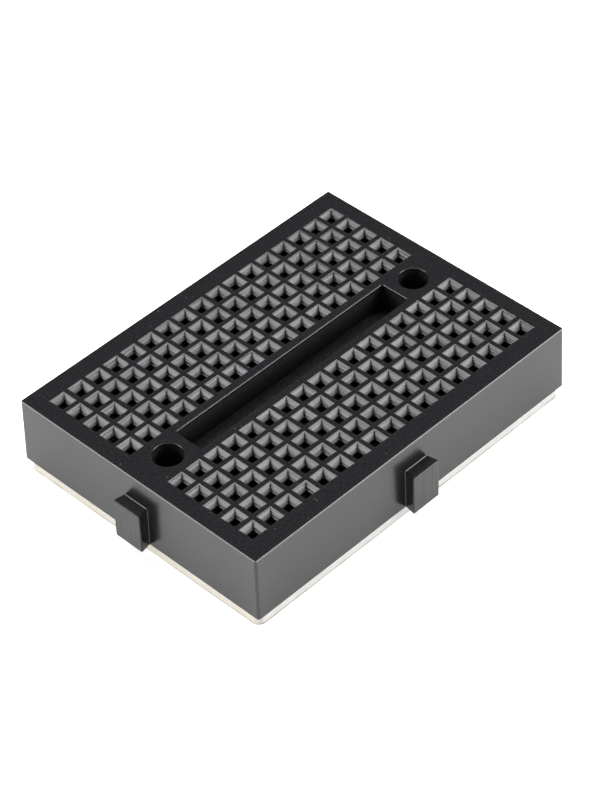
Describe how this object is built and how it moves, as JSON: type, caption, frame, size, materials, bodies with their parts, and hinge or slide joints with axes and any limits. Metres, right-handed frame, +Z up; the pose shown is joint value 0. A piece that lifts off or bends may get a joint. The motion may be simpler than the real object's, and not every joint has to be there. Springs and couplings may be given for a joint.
{
  "type": "solderless breadboard",
  "caption": "Small black solderless breadboard: two banks of square funnel tie-points over sprung contact clips, centre groove, screw holes, joining tabs and an adhesive foam pad.",
  "frame": {"origin": "centre of the face that the board rests on, the underside of the release liner", "axes": "+X along the length, +Y across the width, +Z up out of the tie-points; the joining tabs are on the -X and -Y sides"},
  "size_m": [0.0484, 0.0364, 0.0097],
  "materials": {
    "housing_plastic": "satin",
    "clip_metal": "satin",
    "pad_foam": "matte",
    "liner_paper": "satin"
  },
  "bodies": {
    "board": {"housing": "housing_plastic", "clip_near_01": "clip_metal", "clip_near_02": "clip_metal", "clip_near_03": "clip_metal", "clip_near_04": "clip_metal", "clip_near_05": "clip_metal", "clip_near_06": "clip_metal", "clip_near_07": "clip_metal", "clip_near_08": "clip_metal", "clip_near_09": "clip_metal", "clip_near_10": "clip_metal", "clip_near_11": "clip_metal", "clip_near_12": "clip_metal", "clip_near_13": "clip_metal", "clip_near_14": "clip_metal", "clip_near_15": "clip_metal", "clip_near_16": "clip_metal", "clip_near_17": "clip_metal", "clip_far_01": "clip_metal", "clip_far_02": "clip_metal", "clip_far_03": "clip_metal", "clip_far_04": "clip_metal", "clip_far_05": "clip_metal", "clip_far_06": "clip_metal", "clip_far_07": "clip_metal", "clip_far_08": "clip_metal", "clip_far_09": "clip_metal", "clip_far_10": "clip_metal", "clip_far_11": "clip_metal", "clip_far_12": "clip_metal", "clip_far_13": "clip_metal", "clip_far_14": "clip_metal", "clip_far_15": "clip_metal", "clip_far_16": "clip_metal", "clip_far_17": "clip_metal", "foam_pad": "pad_foam"},
    "liner": {"release_liner": "liner_paper"}
  },
  "joints": [
    {"name": "liner_peel", "type": "slide", "parent": "board", "child": "liner", "axis": [-1, 0, 0], "range_m": [0, 0.025]}
  ]
}
